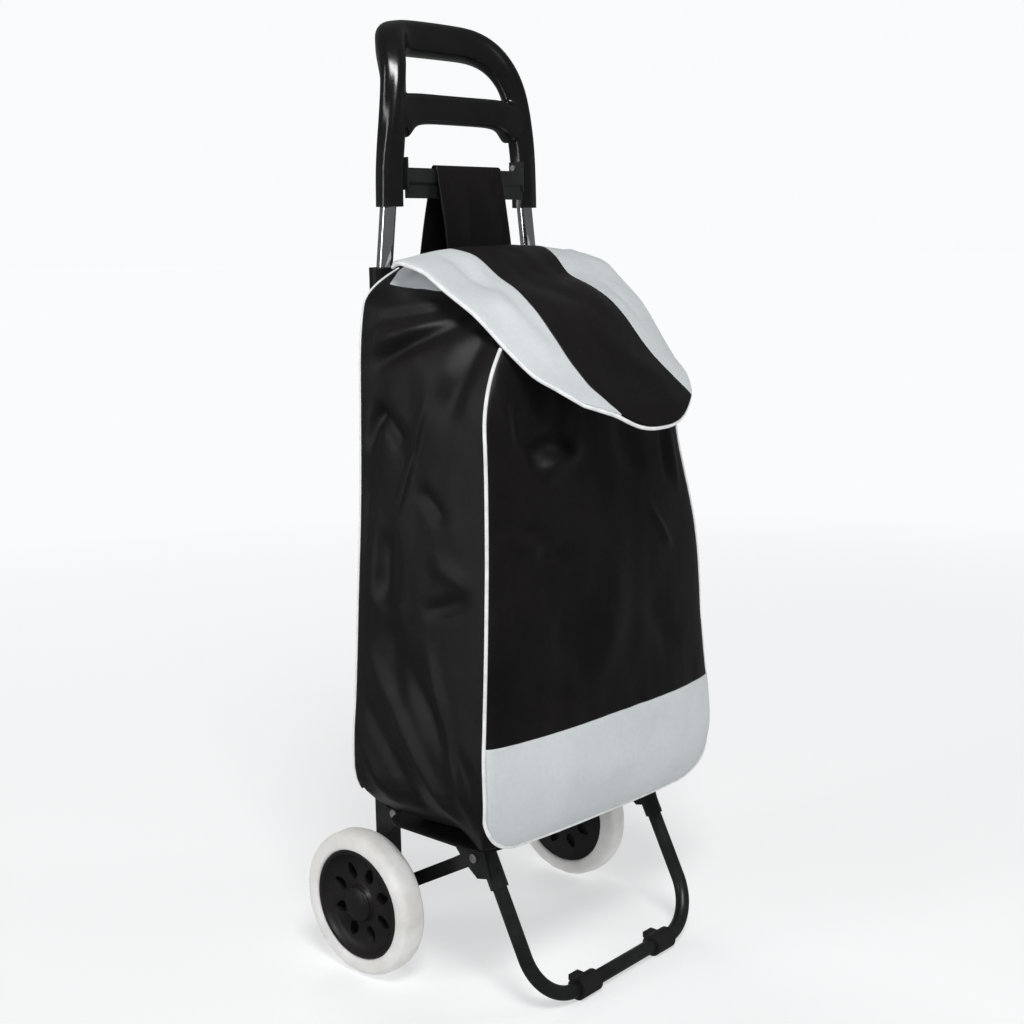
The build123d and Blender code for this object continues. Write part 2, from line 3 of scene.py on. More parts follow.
import bmesh
import bpy
from mathutils import Matrix, Vector, noise
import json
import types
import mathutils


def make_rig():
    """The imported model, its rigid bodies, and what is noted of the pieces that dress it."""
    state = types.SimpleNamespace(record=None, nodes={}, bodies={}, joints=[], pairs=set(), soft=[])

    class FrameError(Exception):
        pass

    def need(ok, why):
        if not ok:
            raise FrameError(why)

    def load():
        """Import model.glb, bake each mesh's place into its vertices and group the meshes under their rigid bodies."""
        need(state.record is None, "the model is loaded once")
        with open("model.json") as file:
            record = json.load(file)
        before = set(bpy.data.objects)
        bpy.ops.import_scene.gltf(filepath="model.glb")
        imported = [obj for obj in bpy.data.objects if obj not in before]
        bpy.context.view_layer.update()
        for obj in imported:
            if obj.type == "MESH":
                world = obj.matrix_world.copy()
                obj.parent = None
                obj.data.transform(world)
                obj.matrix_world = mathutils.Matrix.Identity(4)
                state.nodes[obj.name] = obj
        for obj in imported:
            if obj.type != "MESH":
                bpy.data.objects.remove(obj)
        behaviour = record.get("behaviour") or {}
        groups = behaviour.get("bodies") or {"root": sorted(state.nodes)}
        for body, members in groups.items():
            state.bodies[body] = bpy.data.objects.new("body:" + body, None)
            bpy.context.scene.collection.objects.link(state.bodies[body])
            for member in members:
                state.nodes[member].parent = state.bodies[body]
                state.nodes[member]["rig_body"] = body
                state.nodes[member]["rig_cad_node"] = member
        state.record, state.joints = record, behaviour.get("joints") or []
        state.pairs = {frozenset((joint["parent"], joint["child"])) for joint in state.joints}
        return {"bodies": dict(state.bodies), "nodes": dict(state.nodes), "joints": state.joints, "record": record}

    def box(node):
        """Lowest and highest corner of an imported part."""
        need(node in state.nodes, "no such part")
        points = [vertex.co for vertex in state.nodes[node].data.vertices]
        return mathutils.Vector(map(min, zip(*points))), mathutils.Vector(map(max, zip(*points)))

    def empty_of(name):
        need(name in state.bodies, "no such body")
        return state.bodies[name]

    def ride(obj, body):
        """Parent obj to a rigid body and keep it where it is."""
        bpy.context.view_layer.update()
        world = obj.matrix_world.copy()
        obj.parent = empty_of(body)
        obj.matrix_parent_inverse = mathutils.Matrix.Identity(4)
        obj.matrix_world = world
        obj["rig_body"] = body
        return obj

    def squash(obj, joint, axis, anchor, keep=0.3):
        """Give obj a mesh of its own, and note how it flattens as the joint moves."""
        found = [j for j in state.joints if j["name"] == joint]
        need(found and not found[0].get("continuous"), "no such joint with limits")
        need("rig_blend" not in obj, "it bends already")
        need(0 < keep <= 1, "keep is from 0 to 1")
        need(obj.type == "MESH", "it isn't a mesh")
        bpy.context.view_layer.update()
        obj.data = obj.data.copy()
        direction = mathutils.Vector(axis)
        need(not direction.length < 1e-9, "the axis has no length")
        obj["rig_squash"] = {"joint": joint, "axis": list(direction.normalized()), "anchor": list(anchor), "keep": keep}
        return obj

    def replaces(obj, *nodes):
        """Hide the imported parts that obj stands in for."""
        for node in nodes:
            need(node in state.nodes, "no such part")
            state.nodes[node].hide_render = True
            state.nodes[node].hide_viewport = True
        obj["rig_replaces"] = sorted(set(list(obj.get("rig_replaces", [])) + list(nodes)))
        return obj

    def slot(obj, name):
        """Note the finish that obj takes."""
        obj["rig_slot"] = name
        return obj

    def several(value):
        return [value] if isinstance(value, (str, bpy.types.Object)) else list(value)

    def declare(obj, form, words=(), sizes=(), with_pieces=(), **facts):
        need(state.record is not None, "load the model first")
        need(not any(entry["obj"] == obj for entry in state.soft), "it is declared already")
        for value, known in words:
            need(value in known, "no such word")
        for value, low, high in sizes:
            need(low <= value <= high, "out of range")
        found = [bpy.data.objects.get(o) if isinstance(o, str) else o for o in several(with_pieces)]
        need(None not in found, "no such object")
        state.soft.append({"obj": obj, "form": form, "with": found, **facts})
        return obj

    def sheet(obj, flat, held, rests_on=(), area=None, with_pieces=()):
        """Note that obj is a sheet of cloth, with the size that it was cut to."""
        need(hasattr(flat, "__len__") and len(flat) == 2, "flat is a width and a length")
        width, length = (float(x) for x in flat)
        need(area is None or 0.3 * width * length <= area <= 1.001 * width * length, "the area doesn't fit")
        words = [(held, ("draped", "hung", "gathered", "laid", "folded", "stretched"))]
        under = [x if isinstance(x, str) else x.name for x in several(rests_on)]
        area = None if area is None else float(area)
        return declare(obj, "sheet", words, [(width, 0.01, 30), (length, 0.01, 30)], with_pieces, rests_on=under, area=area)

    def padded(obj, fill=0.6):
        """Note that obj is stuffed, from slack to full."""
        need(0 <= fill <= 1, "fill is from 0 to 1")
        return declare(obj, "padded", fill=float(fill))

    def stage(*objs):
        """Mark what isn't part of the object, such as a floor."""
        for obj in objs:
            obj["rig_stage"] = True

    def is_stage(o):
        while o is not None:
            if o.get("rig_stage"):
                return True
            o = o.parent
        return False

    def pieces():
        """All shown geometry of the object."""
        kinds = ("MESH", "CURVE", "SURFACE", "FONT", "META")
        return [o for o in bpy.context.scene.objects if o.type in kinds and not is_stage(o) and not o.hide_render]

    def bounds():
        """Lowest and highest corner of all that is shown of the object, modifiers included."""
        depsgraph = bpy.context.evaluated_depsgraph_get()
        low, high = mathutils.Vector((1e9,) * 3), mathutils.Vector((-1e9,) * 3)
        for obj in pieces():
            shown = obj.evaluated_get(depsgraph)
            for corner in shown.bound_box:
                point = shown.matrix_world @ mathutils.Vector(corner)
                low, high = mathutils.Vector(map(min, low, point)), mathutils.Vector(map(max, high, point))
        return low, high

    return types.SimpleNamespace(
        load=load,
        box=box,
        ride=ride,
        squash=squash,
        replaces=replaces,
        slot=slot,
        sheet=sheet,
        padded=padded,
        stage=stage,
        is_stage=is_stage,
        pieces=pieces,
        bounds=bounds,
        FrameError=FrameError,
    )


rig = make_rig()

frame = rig.load()
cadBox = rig.bounds()
nodes = frame["nodes"]
scene = bpy.context.scene
scene.view_settings.view_transform = "Standard"
mm = 0.001
wheelLow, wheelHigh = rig.box("wheel_left_tyre")
axleY = (wheelLow.y + wheelHigh.y) / 2  # the uprights stand over the axle
axleZ = (wheelLow.z + wheelHigh.z) / 2


# distances below are in millimetres, forward of the uprights and up from the floor
def spot(x, forward, z):
    return Vector((x * mm, axleY - forward * mm, z * mm))


def track(stops, at):
    # smooth curve through (at, value) stops
    if at <= stops[0][0]:
        return stops[0][1]
    if at >= stops[-1][0]:
        return stops[-1][1]
    i = max(k for k in range(len(stops) - 1) if stops[k][0] <= at)
    (a, p), (b, q) = stops[i], stops[i + 1]
    before = stops[max(i - 1, 0)]
    after = stops[min(i + 2, len(stops) - 1)]
    t = (at - a) / (b - a)
    slopeIn = (q - before[1]) / (b - before[0]) * (b - a)
    slopeOut = (after[1] - p) / (after[0] - a) * (b - a)
    return (
        p * (2 * t**3 - 3 * t**2 + 1) + slopeIn * (t**3 - 2 * t**2 + t)
        + q * (3 * t**2 - 2 * t**3) + slopeOut * (t**3 - t**2)
    )


def straight(stops, at):
    for (a, p), (b, q) in zip(stops, stops[1:]):
        if at <= b:
            return p + (q - p) * max(0.0, at - a) / (b - a)
    return stops[-1][1]


# the camera stands off to the left and a little above the handle
view = {
    "place": (-1.141, -0.999, 0.730), "lens": 53.4,
    "yaw": 48.13, "pitch": 9.99, "roll": -1.03,
}
yaw, pitch, roll = (math.radians(view[k]) for k in ("yaw", "pitch", "roll"))
ahead = Vector((
    math.sin(yaw) * math.cos(pitch), math.cos(yaw) * math.cos(pitch), -math.sin(pitch),
))
level = Vector((math.cos(yaw), -math.sin(yaw), 0))
rise = level.cross(ahead)
right = level * math.cos(roll) + rise * math.sin(roll)
up = rise * math.cos(roll) - level * math.sin(roll)
camera = bpy.data.objects.new("camera", bpy.data.cameras.new("camera"))
camera.data.lens = view["lens"]
camera.data.sensor_width = 36
camera.matrix_world = Matrix.Translation(view["place"]) @ Matrix(
    (right, up, -ahead)
).transposed().to_4x4()
scene.collection.objects.link(camera)
scene.camera = camera

lights = [  # name, place, height aimed at, size, watts, seen in shiny parts
    ("keyLight", (-1.25, -1.5, 2.7), 0.5, (0.9, 0.9), 58, True),
    ("sideLight", (-2.3, 0.7, 1.2), 0.5, (0.4, 2.2), 16, True),
    ("fillLight", (1.9, -1.9, 1.3), 0.45, (0.7, 2.0), 14, False),
    ("backLight", (1.0, 2.2, 2.0), 0.6, (1.6, 1.2), 22, False),
]
for name, place, aimZ, size, watts, shows in lights:
    lamp = bpy.data.lights.new(name, "AREA")
    lamp.shape = "RECTANGLE"
    lamp.size, lamp.size_y = size
    lamp.energy = watts
    holder = bpy.data.objects.new(name, lamp)
    holder.visible_glossy = shows
    away = Vector(place) - Vector((0, 0, aimZ))
    turn = away.to_track_quat("Z", "Y").to_matrix().to_4x4()
    holder.matrix_world = Matrix.Translation(place) @ turn
    scene.collection.objects.link(holder)

world = bpy.data.worlds.new("studio")
world.use_nodes = True
sky = world.node_tree.nodes["Background"]
sky.inputs["Color"].default_value = (0.95, 0.96, 0.97, 1)
ray = world.node_tree.nodes.new("ShaderNodeLightPath")
dim = world.node_tree.nodes.new("ShaderNodeMapRange")  # pale behind the object, dim as a light
dim.inputs["To Min"].default_value = 0.13
dim.inputs["To Max"].default_value = 1.0
world.node_tree.links.new(ray.outputs["Is Camera Ray"], dim.inputs["Value"])
world.node_tree.links.new(dim.outputs[0], sky.inputs["Strength"])
scene.world = world
print("stage is set")


# a number socket that takes part in plain sums
class Number:
    def __init__(self, finish, socket):
        self.finish, self.socket = finish, socket

    def __add__(self, other):
        return self.finish.maths("ADD", self, other)

    def __radd__(self, other):
        return self.finish.maths("ADD", other, self)

    def __sub__(self, other):
        return self.finish.maths("SUBTRACT", self, other)

    def __rsub__(self, other):
        return self.finish.maths("SUBTRACT", other, self)

    def __mul__(self, other):
        return self.finish.maths("MULTIPLY", self, other)

    def __rmul__(self, other):
        return self.finish.maths("MULTIPLY", other, self)

    def __truediv__(self, other):
        return self.finish.maths("DIVIDE", self, other)

    def __rtruediv__(self, other):
        return self.finish.maths("DIVIDE", other, self)


# a material, and the nodes in it
class Finish:
    def __init__(self, name, **fixed):
        self.material = bpy.data.materials.new(name)
        self.material.use_nodes = True
        self.tree = self.material.node_tree
        self.tree.nodes.clear()
        self.shader = self.tree.nodes.new("ShaderNodeBsdfPrincipled")
        output = self.tree.nodes.new("ShaderNodeOutputMaterial")
        self.tree.links.new(self.shader.outputs[0], output.inputs["Surface"])
        for socket, value in fixed.items():
            self.shader.inputs[socket.replace("_", " ")].default_value = value

    def node(self, kind, settings, inputs, take=0):
        made = self.tree.nodes.new(kind)
        for key, value in settings.items():
            if key == "stops":
                ramp = made.color_ramp
                while len(ramp.elements) < len(value):
                    ramp.elements.new(0.5)
                for element, (at, colour) in zip(ramp.elements, value):
                    element.position, element.color = at, colour
            else:
                setattr(made, key, value)
        for key, value in inputs.items():
            self.feed(made.inputs[key], value)
        return Number(self, made.outputs[take])

    def feed(self, socket, value):
        if isinstance(value, Number):
            self.tree.links.new(value.socket, socket)
        else:
            socket.default_value = value

    def maths(self, operation, a, b=0.0):
        return self.node("ShaderNodeMath", {"operation": operation}, {0: a, 1: b})

    def into(self, socket, value):
        self.feed(self.shader.inputs[socket], value)

    def coords(self):
        return self.node("ShaderNodeTexCoord", {}, {}, "Object")

    def noise(self, scale, detail=3.0, rough=0.55, where=None):
        where = where or self.coords()
        return self.node("ShaderNodeTexNoise", {}, {
            "Vector": where, "Scale": scale, "Detail": detail, "Roughness": rough,
        })

    def span(self, value, low, high, newLow=0.0, newHigh=1.0):
        return self.node("ShaderNodeMapRange", {"clamp": True}, {
            "Value": value, "From Min": low, "From Max": high,
            "To Min": newLow, "To Max": newHigh,
        })

    def mix(self, share, a, b):
        return self.node("ShaderNodeMix", {"data_type": "RGBA"}, {
            "Factor": share, 6: a, 7: b,
        }, 2)

    def bump(self, height, strength, distance):
        self.into("Normal", self.node("ShaderNodeBump", {}, {
            "Strength": strength, "Distance": distance, "Height": height,
        }))


def shade(r, g, b):
    return (r, g, b, 1)


# woven polyester: plain weave along its own map in metres, faint slubs and dust
def wovenCloth(name, dark, light, fixed, weave, rough):
    cloth = Finish(name, **fixed)
    where = cloth.node("ShaderNodeUVMap", {"uv_map": "cloth"}, {})
    along = cloth.node("ShaderNodeSeparateXYZ", {}, {"Vector": where})
    across = Number(cloth, along.socket.node.outputs[1])
    turn = 2 * math.pi / weave["pitch"]
    threads = cloth.maths("SINE", along * turn) * cloth.maths("SINE", across * turn)
    broad = cloth.noise(7.0, 4.0, 0.6)
    fine = cloth.noise(240.0, 2.0, 0.5)
    tone = cloth.span(broad * 0.75 + fine * 0.25, 0.34, 0.66)
    cloth.into("Base Color", cloth.mix(tone, dark, light))
    cloth.into("Roughness", cloth.span(broad, 0.3, 0.7, rough[0], rough[1]))
    crease = cloth.noise(26.0, 3.0, 0.5)
    height = threads * weave["thread"] + crease * weave["crease"] + fine * weave["slub"]
    cloth.bump(height, 1.0, 0.001)
    return cloth.material


blackCloth = wovenCloth(
    "blackCloth", shade(0.0030, 0.0024, 0.0025), shade(0.0075, 0.0060, 0.0062),
    {"Sheen_Weight": 0.03, "Sheen_Roughness": 0.42, "Sheen_Tint": shade(0.9, 0.86, 0.86),
     "Specular_IOR_Level": 0.27},
    {"pitch": 0.0011, "thread": 0.035, "crease": 0.9, "slub": 0.08}, (0.33, 0.50),
)
greyCloth = wovenCloth(
    "greyCloth", shade(0.56, 0.60, 0.615), shade(0.66, 0.695, 0.705),
    {"Sheen_Weight": 0.12, "Sheen_Roughness": 0.5, "Specular_IOR_Level": 0.35},
    {"pitch": 0.0011, "thread": 0.03, "crease": 0.8, "slub": 0.06}, (0.58, 0.72),
)


def cordedTrim():
    trim = Finish("whitePiping", Sheen_Weight=0.15, Specular_IOR_Level=0.4)
    speck = trim.noise(90.0, 3.0)
    trim.into("Base Color", trim.mix(
        trim.span(speck, 0.35, 0.7), shade(0.70, 0.715, 0.72), shade(0.86, 0.87, 0.875),
    ))
    trim.into("Roughness", trim.span(speck, 0.3, 0.7, 0.45, 0.62))
    trim.bump(trim.noise(420.0, 2.0), 0.35, 0.0006)
    return trim.material


def polishedChrome():
    chrome = Finish("chromeTube", Metallic=1.0)
    haze = chrome.noise(14.0, 4.0, 0.6)
    chrome.into("Base Color", chrome.mix(
        chrome.span(haze, 0.3, 0.7), shade(0.66, 0.67, 0.68), shade(0.83, 0.84, 0.85),
    ))
    stretched = chrome.node("ShaderNodeMapping", {"vector_type": "POINT"}, {
        "Vector": chrome.coords(), "Scale": (260, 260, 5),
    })
    drawn = chrome.noise(1.0, 3.0, 0.6, stretched)
    chrome.into("Roughness", chrome.span(drawn, 0.3, 0.8, 0.07, 0.17))
    chrome.bump(drawn, 0.05, 0.0003)
    return chrome.material


# coated steel: fine orange peel, dust in broad patches, rubbed a little lighter
def coatedSteel(name, dark, light, rough):
    coat = Finish(name, Specular_IOR_Level=0.38)
    dust = coat.noise(18.0, 5.0, 0.65)
    grit = coat.noise(620.0, 2.0)
    coat.into("Base Color", coat.mix(coat.span(dust, 0.38, 0.72), dark, light))
    coat.into("Roughness", coat.span(dust * 0.7 + grit * 0.3, 0.3, 0.7, rough[0], rough[1]))
    coat.bump(grit, 0.22, 0.0004)
    return coat.material


def zincPlate():
    zinc = Finish("zincSteel", Metallic=0.9)
    cloudy = zinc.noise(85.0, 4.0, 0.6)
    zinc.into("Base Color", zinc.mix(
        zinc.span(cloudy, 0.3, 0.7), shade(0.33, 0.32, 0.32), shade(0.56, 0.54, 0.54),
    ))
    zinc.into("Roughness", zinc.span(cloudy, 0.3, 0.7, 0.28, 0.46))
    zinc.bump(zinc.noise(700.0, 2.0), 0.15, 0.0003)
    return zinc.material


# moulded plastic: base shade, spark-eroded grain and faint handling marks
def mouldedPlastic(name, dark, light, rough, grain, fixed):
    plastic = Finish(name, **fixed)
    marks = plastic.noise(24.0, 5.0, 0.65)
    speckle = plastic.noise(grain["scale"], 2.0)
    plastic.into("Base Color", plastic.mix(plastic.span(marks, 0.35, 0.75), dark, light))
    plastic.into("Roughness", plastic.span(
        marks * 0.6 + speckle * 0.4, 0.32, 0.68, rough[0], rough[1],
    ))
    plastic.bump(speckle, grain["strength"], 0.0005)
    return plastic.material


def foamTyre():
    foam = Finish("tyreFoam", Specular_IOR_Level=0.3)
    cloudy = foam.noise(22.0, 5.0, 0.6)
    pores = foam.noise(520.0, 2.0)
    foam.into("Base Color", foam.mix(
        foam.span(cloudy, 0.34, 0.68), shade(0.70, 0.69, 0.66), shade(0.86, 0.855, 0.84),
    ))
    foam.into("Roughness", foam.span(cloudy, 0.3, 0.7, 0.62, 0.8))
    foam.bump(pores + cloudy * 0.6, 0.35, 0.0007)
    return foam.material


finishes = {
    "chrome_tube": polishedChrome(),
    "black_steel": coatedSteel(
        "blackSteel", shade(0.009, 0.0095, 0.0095), shade(0.022, 0.0235, 0.023), (0.26, 0.40)),
    "zinc_steel": zincPlate(),
    "handle_plastic": mouldedPlastic(
        "handlePlastic", shade(0.0035, 0.0035, 0.0038), shade(0.007, 0.007, 0.0073),
        (0.16, 0.27), {"scale": 380.0, "strength": 0.03}, {"Specular_IOR_Level": 0.55}),
    "hub_plastic": mouldedPlastic(
        "hubPlastic", shade(0.009, 0.0078, 0.0082), shade(0.018, 0.0155, 0.0162),
        (0.38, 0.52), {"scale": 900.0, "strength": 0.12}, {"Specular_IOR_Level": 0.32}),
    "clip_plastic": mouldedPlastic(
        "clipPlastic", shade(0.009, 0.009, 0.009), shade(0.020, 0.020, 0.0195),
        (0.42, 0.58), {"scale": 700.0, "strength": 0.15}, {"Specular_IOR_Level": 0.35}),
    "tyre_foam": foamTyre(),
    "black_fabric": blackCloth,
    "grey_fabric": greyCloth,
    "white_piping": cordedTrim(),
}
slotOf = {part["node"]: part["material_slot"] for part in frame["record"]["subparts"]}
for name, part in nodes.items():
    part.data.materials.clear()
    part.data.materials.append(finishes[slotOf[name]])
print("finishes are mixed")

# the floor glows a little, and wholly so far away, so that it runs into the backdrop
floorFinish = Finish("paleFloor", Emission_Strength=1.0, Specular_IOR_Level=0.1)
away = floorFinish.node("ShaderNodeVectorMath", {"operation": "LENGTH"},
                        {0: floorFinish.coords()}, "Value")
far = floorFinish.span(away, 0.45, 2.6)
floorFinish.into("Base Color", floorFinish.mix(far, shade(0.50, 0.50, 0.50), shade(0, 0, 0)))
floorFinish.into("Emission Color", floorFinish.mix(
    far, shade(0.52, 0.525, 0.53), shade(0.95, 0.96, 0.97)))
floorFinish.into("Roughness", floorFinish.span(floorFinish.noise(1.3, 2.0), 0.3, 0.7, 0.75, 0.85))


def linkPiece(name, mesh, finish, smooth=True):
    for face in mesh.polygons:
        face.use_smooth = smooth
    mesh.materials.clear()
    mesh.materials.append(finish)
    mesh.name = name
    piece = bpy.data.objects.new(name, mesh)
    scene.collection.objects.link(piece)
    return piece


def linkMesh(name, bm, finish, smooth=True):
    mesh = bpy.data.meshes.new(name)
    bm.to_mesh(mesh)
    bm.free()
    return linkPiece(name, mesh, finish, smooth)


# a curve of one line, standing in the scene until it has been used
def linkLine(name, points, **settings):
    line = bpy.data.curves.new(name, "CURVE")
    for key, value in settings.items():
        setattr(line, key, value)
    spline = line.splines.new("NURBS" if "bevel_object" in settings else "POLY")
    spline.points.add(len(points) - 1)
    for point, where in zip(spline.points, points):
        point.co = (*where[:3], 1)
    holder = bpy.data.objects.new(name, line)
    scene.collection.objects.link(holder)
    return holder, spline


# the mesh that an object shows, with its modifiers or its bevel taken in
def shownMesh(holder):
    bpy.context.view_layer.update()
    graph = bpy.context.evaluated_depsgraph_get()
    return bpy.data.meshes.new_from_object(holder.evaluated_get(graph))


def dropLine(holder):
    line = holder.data
    bpy.data.objects.remove(holder)
    bpy.data.curves.remove(line)


bm = bmesh.new()
bmesh.ops.create_grid(bm, x_segments=4, y_segments=4, size=60)
floorPiece = linkMesh("floor", bm, floorFinish.material)
floorPiece.visible_glossy = False
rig.stage(floorPiece)


def settle(piece, body, slot, *replaced):
    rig.ride(piece, body)
    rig.slot(piece, slot)
    if replaced:
        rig.replaces(piece, *replaced)
    return piece


# a rectangle of cloth bent to place(u, v); its own map is in metres of flat cloth
def clothGrid(name, across, along, flat, place, finish, thick, flip=False):
    bm = bmesh.new()
    clothMap = bm.loops.layers.uv.new("cloth")
    bmesh.ops.create_grid(bm, x_segments=across, y_segments=along, size=0.5)
    for face in bm.faces:
        for loop in face.loops:
            co = loop.vert.co
            loop[clothMap].uv = ((co.x + 0.5) * flat[0], (co.y + 0.5) * flat[1])
    for vert in bm.verts:
        vert.co = place(vert.co.x + 0.5, vert.co.y + 0.5)
    if flip:
        bmesh.ops.reverse_faces(bm, faces=bm.faces)
    piece = linkMesh(name, bm, finish)
    wall = piece.modifiers.new("thickness", "SOLIDIFY")
    wall.thickness = thick
    wall.offset = -1
    return piece


# a round bead along a line of points, made a mesh
def beadAlong(name, points, radius, finish):
    holder, spline = linkLine(name + "Line", points, dimensions="3D", bevel_depth=radius,
                              bevel_resolution=3, use_fill_caps=True)
    mesh = shownMesh(holder)
    dropLine(holder)
    return linkPiece(name, mesh, finish)


# legs, arch and grip bar run together like one moulding
handle = {
    # out from the middle, back from the uprights, height, thickness as a share of a leg's
    "leg": [(99, -1, 748, 1.08), (99, -1, 795, 1.08), (96, -2, 826, 1.08), (92, -1.5, 852, 1.08),
            (88.5, 0, 878, 1.10), (83, 5, 900, 1.2), (74, 18, 921, 1.34), (59, 32, 932.5, 1.44),
            (36, 39.5, 935, 1.5)],
    "innerBar": [(86, 852, 1.55), (80, 855.5, 1.5), (70, 860, 1.2), (52, 862.8, 1.05),
                 (24, 862.8, 1.03)],
    "legSection": (21.5, 23.0), "barSection": (16.5, 28.0), "corner": 7.5,
    "voxel": 1.35, "softenings": 12,
    "cut": 768.0,  # the legs' square lower ends
}


def roundedSection(name, wide, deep, corner):
    bm = bmesh.new()
    bmesh.ops.create_grid(bm, x_segments=1, y_segments=1, size=0.5)
    bmesh.ops.scale(bm, vec=(wide * mm, deep * mm, 1), verts=bm.verts)
    bmesh.ops.bevel(bm, geom=bm.verts[:], offset=corner * mm, segments=5, profile=0.5,
                    affect="VERTICES", material=-1)
    holder, spline = linkLine(name, [vert.co for vert in bm.faces[:][0].verts])
    spline.use_cyclic_u = True
    bm.free()
    return holder


def sweepBar(name, points, section):
    # points are (x, y, z, thickness); returns a mesh swept along a smooth line
    holder, spline = linkLine(name, points, dimensions="3D", resolution_u=8, bevel_mode="OBJECT",
                              bevel_object=section, use_fill_caps=True, twist_mode="Z_UP")
    for point, where in zip(spline.points, points):
        point.radius = where[3]
    spline.order_u = 4
    spline.use_endpoint_u = True
    mesh = shownMesh(holder)
    dropLine(holder)
    return mesh


def finished(piece):
    # the same piece with its modifiers taken into its mesh
    mesh = shownMesh(piece)
    old = piece.data
    piece.modifiers.clear()
    piece.data = mesh
    bpy.data.meshes.remove(old)
    mesh.name = piece.name
    return piece


legSection = roundedSection("legSection", *handle["legSection"], handle["corner"])
barSection = roundedSection("barSection", *handle["barSection"], handle["corner"])
archLine = [(-x, axleY / mm + back, z, t) for x, back, z, t in handle["leg"]]
archLine += [(x, axleY / mm + back, z, t) for x, back, z, t in reversed(handle["leg"])]
barLine = [(-x, axleY / mm, z, t) for x, z, t in handle["innerBar"]]
barLine += [(x, axleY / mm, z, t) for x, z, t in reversed(handle["innerBar"])]
bm = bmesh.new()
for name, line, section in (("arch", archLine, legSection), ("innerBar", barLine, barSection)):
    mesh = sweepBar(name, [(x * mm, y * mm, z * mm, t) for x, y, z, t in line], section)
    bm.from_mesh(mesh)
    bpy.data.meshes.remove(mesh)
dropLine(legSection)
dropLine(barSection)
handlePiece = linkMesh("handleMoulding", bm, finishes["handle_plastic"])
whole = handlePiece.modifiers.new("oneSkin", "REMESH")
whole.mode = "VOXEL"
whole.voxel_size = handle["voxel"] * mm
whole.use_smooth_shade = True
soften = handlePiece.modifiers.new("soften", "SMOOTH")
soften.factor = 0.5
soften.iterations = handle["softenings"]
finished(handlePiece)
bm = bmesh.new()
bm.from_mesh(handlePiece.data)
cut = bmesh.ops.bisect_plane(bm, geom=bm.verts[:] + bm.edges[:] + bm.faces[:], dist=1e-6,
                             plane_co=(0, 0, handle["cut"] * mm), plane_no=(0, 0, -1),
                             clear_outer=True)
ends = [e for e in cut["geom_cut"] if isinstance(e, bmesh.types.BMEdge)]
bmesh.ops.holes_fill(bm, edges=ends)
for edge in ends:
    edge.smooth = False
bm.to_mesh(handlePiece.data)
bm.free()
for face in handlePiece.data.polygons:
    face.use_smooth = True
settle(handlePiece, "frame", "handle_plastic", "handle")
print("handle is moulded")

wheel = {
    "tyreSteps": 120, "rimSteps": 96, "capSteps": 64, "rimEase": 0.6,
    "holes": 8, "holeNear": 24.5, "holeFar": 42.5, "holeHalf": 5.8,
    "lumps": 1.26, "lumpSize": 8.5,  # depth and size of the foam's unevenness
    # outward from the middle of the tyre, radius
    "tyre": [(-12.5, 56.2), (-15, 58), (-15, 66.5), (-14.2, 70.6), (-11.8, 73.4), (-8, 74.8),
             (-3, 75.1), (3, 75.1), (8, 74.8), (11.8, 73.4), (14.2, 70.6), (15, 66.5), (15, 58),
             (12.5, 56.2)],
    "dish": [(-13, 56.2), (12.6, 56.2), (13.2, 55.4), (12.8, 52.2), (10.2, 50.8), (6.8, 48.0),
             (5.2, 44.5), (4.8, 22), (6, 19.4), (9.4, 18.2), (10.4, 17.2), (10.4, 11.5),
             (4, 11), (4, 4.2), (-20.5, 4.2), (-20.5, 14.6), (-12.2, 15), (-12.2, 50.6)],
    "cap": [(8.4, 9), (8.4, 17.6), (10.6, 18.4), (13.0, 16.8), (14.6, 12.5), (15.4, 7),
            (15.7, 0)],
}


def turned(name, profile, middle, side, finish, closed, steps):
    # a profile of (outward, radius) spun about the axle
    bm = bmesh.new()
    verts = [bm.verts.new((middle + side * x * mm, axleY, axleZ + r * mm)) for x, r in profile]
    edges = [bm.edges.new(pair) for pair in zip(verts, verts[1:])]
    if closed:
        edges.append(bm.edges.new((verts[-1], verts[0])))
    bmesh.ops.spin(bm, geom=verts + edges, cent=(0, axleY, axleZ), axis=(1, 0, 0),
                   angle=2 * math.pi, steps=steps, use_merge=True)
    bmesh.ops.remove_doubles(bm, verts=bm.verts, dist=1e-6)
    bmesh.ops.recalc_face_normals(bm, faces=bm.faces)
    return linkMesh(name, bm, finish)


